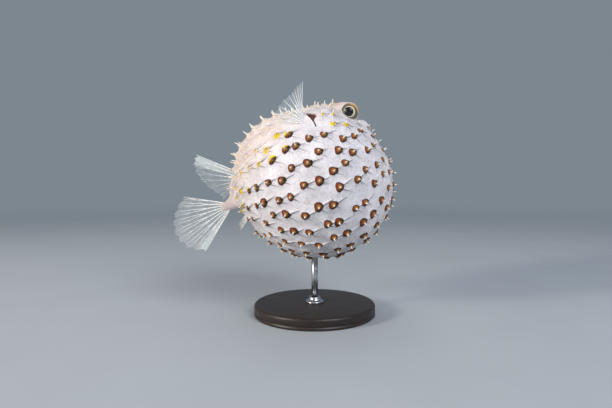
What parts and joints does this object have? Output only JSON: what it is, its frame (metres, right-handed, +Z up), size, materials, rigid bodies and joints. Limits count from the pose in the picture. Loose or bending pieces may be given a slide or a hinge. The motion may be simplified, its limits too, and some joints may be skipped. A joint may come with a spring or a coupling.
{
  "type": "inflated burrfish on display stand",
  "caption": "Life-size still model of an inflated, spiny burrfish banked nose-up above a round base, held by a short steel rod.",
  "frame": {"origin": "centre of the stand base's underside, straight below the middle of the fish's ball-shaped body", "axes": "+Z up; +X towards the head's side; the fish's right side, with its belly turned to it, faces -Y"},
  "size_m": [0.2829, 0.2254, 0.2772],
  "materials": {
    "skin": "moist, smooth skin, white below and pinkish above, with red-brown and yellow spots",
    "lips": "moist pinkish flesh",
    "eye": "clear, wet eye with a dark pupil, thin white-gold ring and olive-grey iris",
    "fin": "thin translucent web between white rays",
    "stand_wood": "dark stained hardwood, satin",
    "stand_steel": "brushed"
  },
  "bodies": {
    "root": {"head": "skin", "back": "skin", "belly": "skin", "tail_stalk": "skin", "nostril_right": "skin", "nostril_left": "skin", "lip_upper": "lips", "lip_lower": "lips", "eye_right": "eye", "eye_left": "eye", "pectoral_fin_right": "fin", "pectoral_fin_left": "fin", "dorsal_fin": "fin", "anal_fin": "fin", "caudal_fin": "fin", "stand_base": "stand_wood", "stand_collar": "stand_steel", "stand_rod": "stand_steel"}
  },
  "joints": []
}
